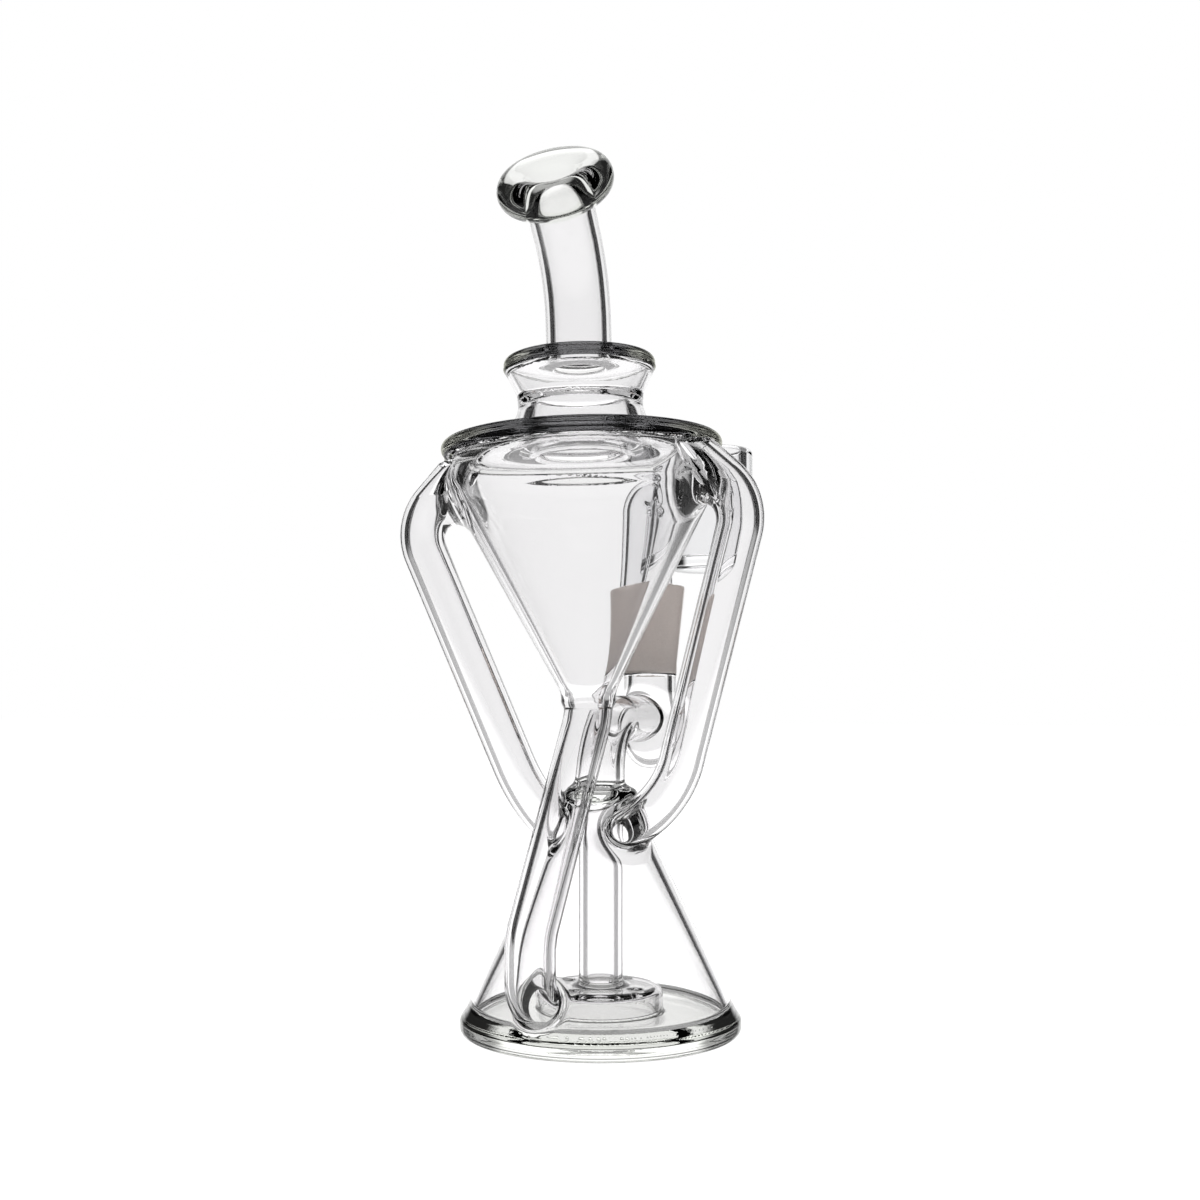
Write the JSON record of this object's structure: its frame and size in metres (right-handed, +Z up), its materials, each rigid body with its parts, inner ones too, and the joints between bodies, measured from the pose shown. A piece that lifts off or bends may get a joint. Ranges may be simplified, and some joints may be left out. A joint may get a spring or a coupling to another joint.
{
  "type": "glass recycler water pipe",
  "caption": "Clear glass recycler water pipe with cone base, funnel chamber, bent neck and a quartz bucket insert in a ground joint.",
  "frame": {"origin": "centre of the foot's underside, on the axis of the base cone", "axes": "+Z up along the base cone's axis; -Y to the front, where the mouthpiece and the drain tube are; +Y to the back, where the ground joint and the banger are; +X to the right uptake arm"},
  "size_m": [0.0688, 0.083, 0.1565],
  "materials": {
    "clear_glass": "polished clear borosilicate tube",
    "thick_glass": "polished thick borosilicate with a faint green-grey tint",
    "weld_glass": "fire-polished weld bead",
    "ground_glass": "frosted ground joint surface",
    "quartz": "polished clear fused quartz"
  },
  "bodies": {
    "rig": {"foot_disc": "thick_glass", "base_cone": "clear_glass", "neck_seal": "weld_glass", "downstem": "clear_glass", "diffuser_puck": "clear_glass", "joint_elbow": "clear_glass", "joint_body": "clear_glass", "joint_socket": "ground_glass", "upper_funnel": "clear_glass", "rim_disc": "thick_glass", "collar": "clear_glass", "collar_cap": "thick_glass", "neck_tube": "clear_glass", "mouthpiece": "thick_glass", "uptake_arm_left": "clear_glass", "uptake_arm_right": "clear_glass", "drain_tube": "clear_glass"},
    "ground_end": {"banger_ground_joint": "ground_glass"},
    "banger": {"banger_neck": "quartz", "banger_bucket": "quartz", "banger_floor": "quartz"}
  },
  "joints": [
    {"name": "banger_lift", "type": "slide", "parent": "rig", "child": "ground_end", "axis": [0, 0, 1], "range_m": [0, 0.024]},
    {"name": "banger_turn", "type": "hinge", "parent": "ground_end", "child": "banger", "pos_m": [0, 0.026, 0.082], "axis": [0, 0, 1], "range_deg": [-70, 110]}
  ]
}
